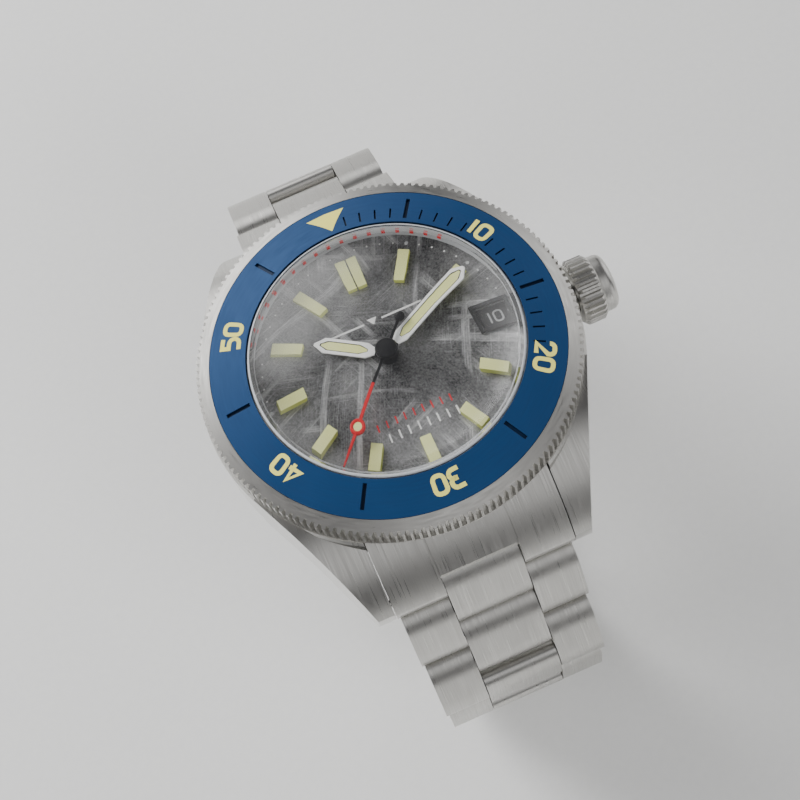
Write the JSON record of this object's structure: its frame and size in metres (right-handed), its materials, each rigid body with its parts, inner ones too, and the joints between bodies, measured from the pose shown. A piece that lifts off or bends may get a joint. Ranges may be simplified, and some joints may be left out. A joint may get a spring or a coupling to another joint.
{
  "type": "dive watch",
  "caption": "Dive watch with a turning bezel, domed crystal, date window, screw-down crown, working hands and a steel link bracelet closed by a folding clasp.",
  "frame": {"origin": "centre of the case back's outer face", "axes": "+Z out through the crystal, +Y towards 12 o'clock, +X towards the crown at 3 o'clock"},
  "size_m": [0.0495, 0.0753, 0.0555],
  "materials": {
    "brushed_steel": "satin brushed",
    "polished_steel": "polished",
    "blue_insert": "satin anodised",
    "crystal_glass": "clear, polished",
    "dial_grey": "etched, satin",
    "chapter_silver": "satin",
    "lume": "matt luminous fill",
    "black_lacquer": "satin",
    "red_lacquer": "gloss",
    "white_print": "matt",
    "black_rubber": "matt",
    "movement_brass": "fine brushed",
    "holder_plastic": "matt"
  },
  "bodies": {
    "case": {"mid_case": "brushed_steel", "case_back": "polished_steel", "case_back_gasket": "black_rubber", "bezel_click_spring": "polished_steel", "bezel_gasket": "black_rubber", "crystal": "crystal_glass", "crystal_gasket": "black_rubber", "chapter_ring": "chapter_silver", "dial": "dial_grey", "date_frame": "black_lacquer", "hour_markers": "lume", "movement_plate": "movement_brass", "movement_holder": "holder_plastic", "train_bridge": "polished_steel", "balance_cock": "polished_steel", "rotor_bearing": "polished_steel", "crown_tube": "polished_steel", "end_link_12": "brushed_steel", "end_link_6": "brushed_steel", "spring_bars": "polished_steel"},
    "bezel": {"bezel_ring": "brushed_steel", "bezel_insert": "blue_insert"},
    "crown_slide": {"crown_gasket": "black_rubber"},
    "crown": {"crown": "brushed_steel", "winding_stem": "polished_steel"},
    "second_arbor": {"second_hand": "red_lacquer", "fourth_wheel": "movement_brass"},
    "minute_arbor": {"minute_hand": "polished_steel", "centre_wheel": "movement_brass"},
    "hour_tube": {"hour_hand": "polished_steel", "hour_wheel": "movement_brass"},
    "third_wheel": {"third_wheel": "movement_brass"},
    "escape_wheel": {"escape_wheel": "movement_brass"},
    "pallet_fork": {"pallet_fork": "movement_brass"},
    "balance_wheel": {"balance_wheel": "movement_brass"},
    "mainspring_barrel": {"mainspring_barrel": "movement_brass"},
    "rotor": {"rotor": "polished_steel"},
    "date_ring": {"date_ring": "white_print"},
    "helium_valve": {"helium_valve": "polished_steel"},
    "link_12_1": {"link_12_1": "brushed_steel"},
    "link_12_2": {"link_12_2": "brushed_steel"},
    "link_12_3": {"link_12_3": "brushed_steel"},
    "link_12_4": {"link_12_4": "brushed_steel"},
    "link_12_5": {"link_12_5": "brushed_steel"},
    "link_12_6": {"link_12_6": "brushed_steel"},
    "link_6_1": {"link_6_1": "brushed_steel"},
    "link_6_2": {"link_6_2": "brushed_steel"},
    "link_6_3": {"link_6_3": "brushed_steel"},
    "link_6_4": {"link_6_4": "brushed_steel"},
    "link_6_5": {"link_6_5": "brushed_steel"},
    "clasp_cover": {"clasp_cover": "brushed_steel", "clasp_pin": "polished_steel"},
    "clasp_outer_blade": {"clasp_outer_blade": "brushed_steel"},
    "clasp_inner_blade": {"clasp_inner_blade": "brushed_steel", "clasp_spring_bar": "polished_steel"},
    "push_button_right": {"push_button_right": "polished_steel"},
    "push_button_left": {"push_button_left": "polished_steel"}
  },
  "joints": [
    {"name": "bezel_turn", "type": "hinge", "parent": "case", "child": "bezel", "pos_m": [0, 0, 0.005], "axis": [0, 0, 1], "continuous": true},
    {"name": "crown_pull", "type": "slide", "parent": "case", "child": "crown_slide", "axis": [1, 0, 0], "range_m": [0, 0.0025]},
    {"name": "crown_turn", "type": "hinge", "parent": "crown_slide", "child": "crown", "pos_m": [0.024, 0, 0.005], "axis": [1, 0, 0], "continuous": true},
    {"name": "second_turn", "type": "hinge", "parent": "case", "child": "second_arbor", "pos_m": [0, 0, 0.005], "axis": [0, 0, 1], "continuous": true},
    {"name": "minute_turn", "type": "hinge", "parent": "case", "child": "minute_arbor", "pos_m": [0, 0, 0.005], "axis": [0, 0, 1], "continuous": true},
    {"name": "hour_turn", "type": "hinge", "parent": "case", "child": "hour_tube", "pos_m": [0, 0, 0.005], "axis": [0, 0, 1], "continuous": true},
    {"name": "third_wheel_turn", "type": "hinge", "parent": "case", "child": "third_wheel", "pos_m": [-0.00287, 0.00498, 0.005], "axis": [0, 0, 1], "continuous": true},
    {"name": "escape_wheel_turn", "type": "hinge", "parent": "case", "child": "escape_wheel", "pos_m": [-0.00178, -0.00489, 0.005], "axis": [0, 0, 1], "continuous": true},
    {"name": "barrel_turn", "type": "hinge", "parent": "case", "child": "mainspring_barrel", "pos_m": [0.00705, 0.00495, 0.005], "axis": [0, 0, 1], "continuous": true},
    {"name": "pallet_swing", "type": "hinge", "parent": "case", "child": "pallet_fork", "pos_m": [-0.0009, -0.0082, 0.0045], "axis": [0, 0, 1], "range_deg": [-8, 8]},
    {"name": "balance_swing", "type": "hinge", "parent": "case", "child": "balance_wheel", "pos_m": [0.0034, -0.0088, 0.0052], "axis": [0, 0, 1], "range_deg": [-270, 270], "stiffness_Nm_per_rad": 0.000001},
    {"name": "rotor_turn", "type": "hinge", "parent": "case", "child": "rotor", "pos_m": [0, 0, 0.005], "axis": [0, 0, 1], "continuous": true},
    {"name": "date_turn", "type": "hinge", "parent": "case", "child": "date_ring", "pos_m": [0, 0, 0.005], "axis": [0, 0, 1], "continuous": true},
    {"name": "valve_open", "type": "slide", "parent": "case", "child": "helium_valve", "axis": [-0.9135, 0.4067, 0], "range_m": [0, 0.0006], "stiffness_N_per_m": 200},
    {"name": "link_12_1_hinge", "type": "hinge", "parent": "case", "child": "link_12_1", "pos_m": [0, 0.0236, -0.0005], "axis": [1, 0, 0], "range_deg": [0, 20]},
    {"name": "link_12_2_hinge", "type": "hinge", "parent": "link_12_1", "child": "link_12_2", "pos_m": [0, 0.03079, -0.00592], "axis": [1, 0, 0], "range_deg": [0, 20]},
    {"name": "link_12_3_hinge", "type": "hinge", "parent": "link_12_2", "child": "link_12_3", "pos_m": [0, 0.0385, -0.01055], "axis": [1, 0, 0], "range_deg": [0, 20]},
    {"name": "link_12_4_hinge", "type": "hinge", "parent": "link_12_3", "child": "link_12_4", "pos_m": [0, 0.04007, -0.01942], "axis": [1, 0, 0], "range_deg": [0, 20]},
    {"name": "link_12_5_hinge", "type": "hinge", "parent": "link_12_4", "child": "link_12_5", "pos_m": [0, 0.03728, -0.02797], "axis": [1, 0, 0], "range_deg": [0, 20]},
    {"name": "link_12_6_hinge", "type": "hinge", "parent": "link_12_5", "child": "link_12_6", "pos_m": [0, 0.0307, -0.03411], "axis": [1, 0, 0], "range_deg": [0, 20]},
    {"name": "link_6_1_hinge", "type": "hinge", "parent": "case", "child": "link_6_1", "pos_m": [0, -0.0236, -0.0005], "axis": [-1, 0, 0], "range_deg": [0, 20]},
    {"name": "link_6_2_hinge", "type": "hinge", "parent": "link_6_1", "child": "link_6_2", "pos_m": [0, -0.02755, -0.00859], "axis": [-1, 0, 0], "range_deg": [0, 20]},
    {"name": "link_6_3_hinge", "type": "hinge", "parent": "link_6_2", "child": "link_6_3", "pos_m": [0, -0.03204, -0.01638], "axis": [-1, 0, 0], "range_deg": [0, 20]},
    {"name": "link_6_4_hinge", "type": "hinge", "parent": "link_6_3", "child": "link_6_4", "pos_m": [0, -0.03173, -0.02538], "axis": [-1, 0, 0], "range_deg": [0, 20]},
    {"name": "link_6_5_hinge", "type": "hinge", "parent": "link_6_4", "child": "link_6_5", "pos_m": [0, -0.02657, -0.03275], "axis": [-1, 0, 0], "range_deg": [0, 20]},
    {"name": "clasp_hinge", "type": "hinge", "parent": "link_12_6", "child": "clasp_cover", "pos_m": [0, 0.02224, -0.03719], "axis": [1, 0, 0], "range_deg": [0, 20]},
    {"name": "clasp_fold", "type": "hinge", "parent": "clasp_cover", "child": "clasp_outer_blade", "pos_m": [0, -0.01374, -0.03769], "axis": [1, 0, 0], "range_deg": [0, 25]},
    {"name": "blade_fold", "type": "hinge", "parent": "clasp_outer_blade", "child": "clasp_inner_blade", "pos_m": [0, 0.01674, -0.03729], "axis": [-1, 0, 0], "range_deg": [0, 50]},
    {"name": "push_right", "type": "slide", "parent": "clasp_cover", "child": "push_button_right", "axis": [-1, 0, 0], "range_m": [0, 0.0007], "stiffness_N_per_m": 400},
    {"name": "push_left", "type": "slide", "parent": "clasp_cover", "child": "push_button_left", "axis": [1, 0, 0], "range_m": [0, 0.0007], "stiffness_N_per_m": 400}
  ],
  "couplings": [
    {"joint": "minute_turn", "follows": "second_turn", "ratio": 0.016667},
    {"joint": "hour_turn", "follows": "second_turn", "ratio": 0.0013889},
    {"joint": "third_wheel_turn", "follows": "second_turn", "ratio": -0.13333},
    {"joint": "escape_wheel_turn", "follows": "second_turn", "ratio": -10},
    {"joint": "barrel_turn", "follows": "second_turn", "ratio": -0.0020833},
    {"joint": "blade_fold", "follows": "clasp_fold", "ratio": 2}
  ]
}
